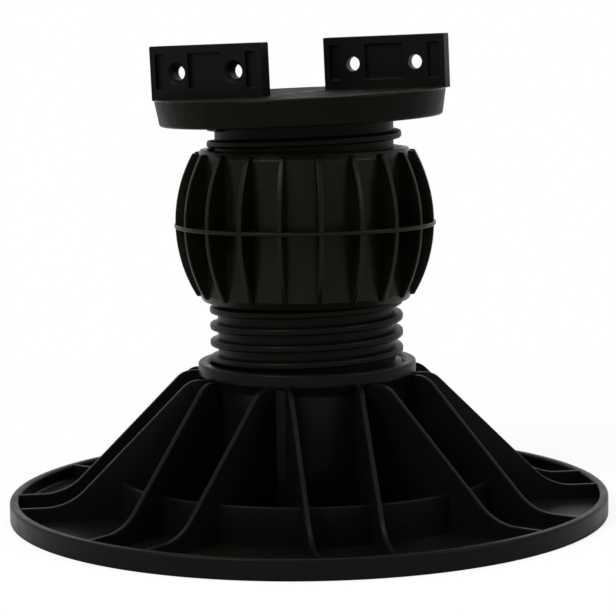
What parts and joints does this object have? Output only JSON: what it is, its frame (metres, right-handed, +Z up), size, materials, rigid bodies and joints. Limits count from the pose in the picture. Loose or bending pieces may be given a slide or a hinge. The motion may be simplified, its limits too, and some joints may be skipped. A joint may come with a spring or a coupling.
{
  "type": "adjustable deck pedestal",
  "caption": "Black plastic screw pedestal for a raised deck: wide ribbed base, barrel coupler between coarse screws, and a levelling head with brackets that hold a joist.",
  "frame": {"origin": "centre of the base's flat underside", "axes": "+Z up along the screws; -Y along the centre line of one pair of the base's ribs"},
  "size_m": [0.32, 0.32, 0.2538],
  "materials": {
    "base_plastic": "moulded black polypropylene, satin",
    "screw_plastic": "moulded black polypropylene, satin",
    "coupler_plastic": "moulded black polypropylene, satin",
    "inner_plastic": "moulded black polypropylene, satin",
    "head_plastic": "moulded black polypropylene, satin",
    "bracket_plastic": "moulded black polypropylene, satin",
    "black_steel": "blackened steel, satin"
  },
  "bodies": {
    "base": {"base_plate": "base_plastic"},
    "lower_screw": {"lower_screw": "screw_plastic"},
    "coupler": {"coupler": "coupler_plastic"},
    "levelling_seat": {"levelling_seat": "inner_plastic"},
    "upper_screw": {"upper_screw": "screw_plastic"},
    "spherical_washer": {"spherical_washer": "inner_plastic"},
    "head": {"head_plate": "head_plastic", "retaining_screw": "black_steel", "retaining_nut": "black_steel", "joist_bracket_left": "bracket_plastic", "joist_bracket_right": "bracket_plastic"}
  },
  "joints": [
    {"name": "base_height", "type": "slide", "parent": "base", "child": "lower_screw", "axis": [0, 0, 1], "range_m": [-0.028, 0.025]},
    {"name": "coupler_height", "type": "slide", "parent": "lower_screw", "child": "coupler", "axis": [0, 0, 1], "range_m": [-0.004, 0.018]},
    {"name": "head_height", "type": "slide", "parent": "coupler", "child": "levelling_seat", "axis": [0, 0, 1], "range_m": [-0.011, 0.018]},
    {"name": "head_turn", "type": "hinge", "parent": "levelling_seat", "child": "upper_screw", "pos_m": [0, 0, 0.167], "axis": [0, 0, 1], "range_deg": [-452, 740]},
    {"name": "front_tilt", "type": "hinge", "parent": "levelling_seat", "child": "spherical_washer", "pos_m": [0, 0, 0.167], "axis": [0.9659, 0.2588, 0], "range_deg": [-2.86, 2.86]},
    {"name": "side_tilt", "type": "hinge", "parent": "spherical_washer", "child": "head", "pos_m": [0, 0, 0.167], "axis": [-0.2588, 0.9659, 0], "range_deg": [-0.84, 4.88]}
  ],
  "couplings": [
    {"joint": "head_height", "follows": "head_turn", "m_per_rad": 0.0013926}
  ]
}
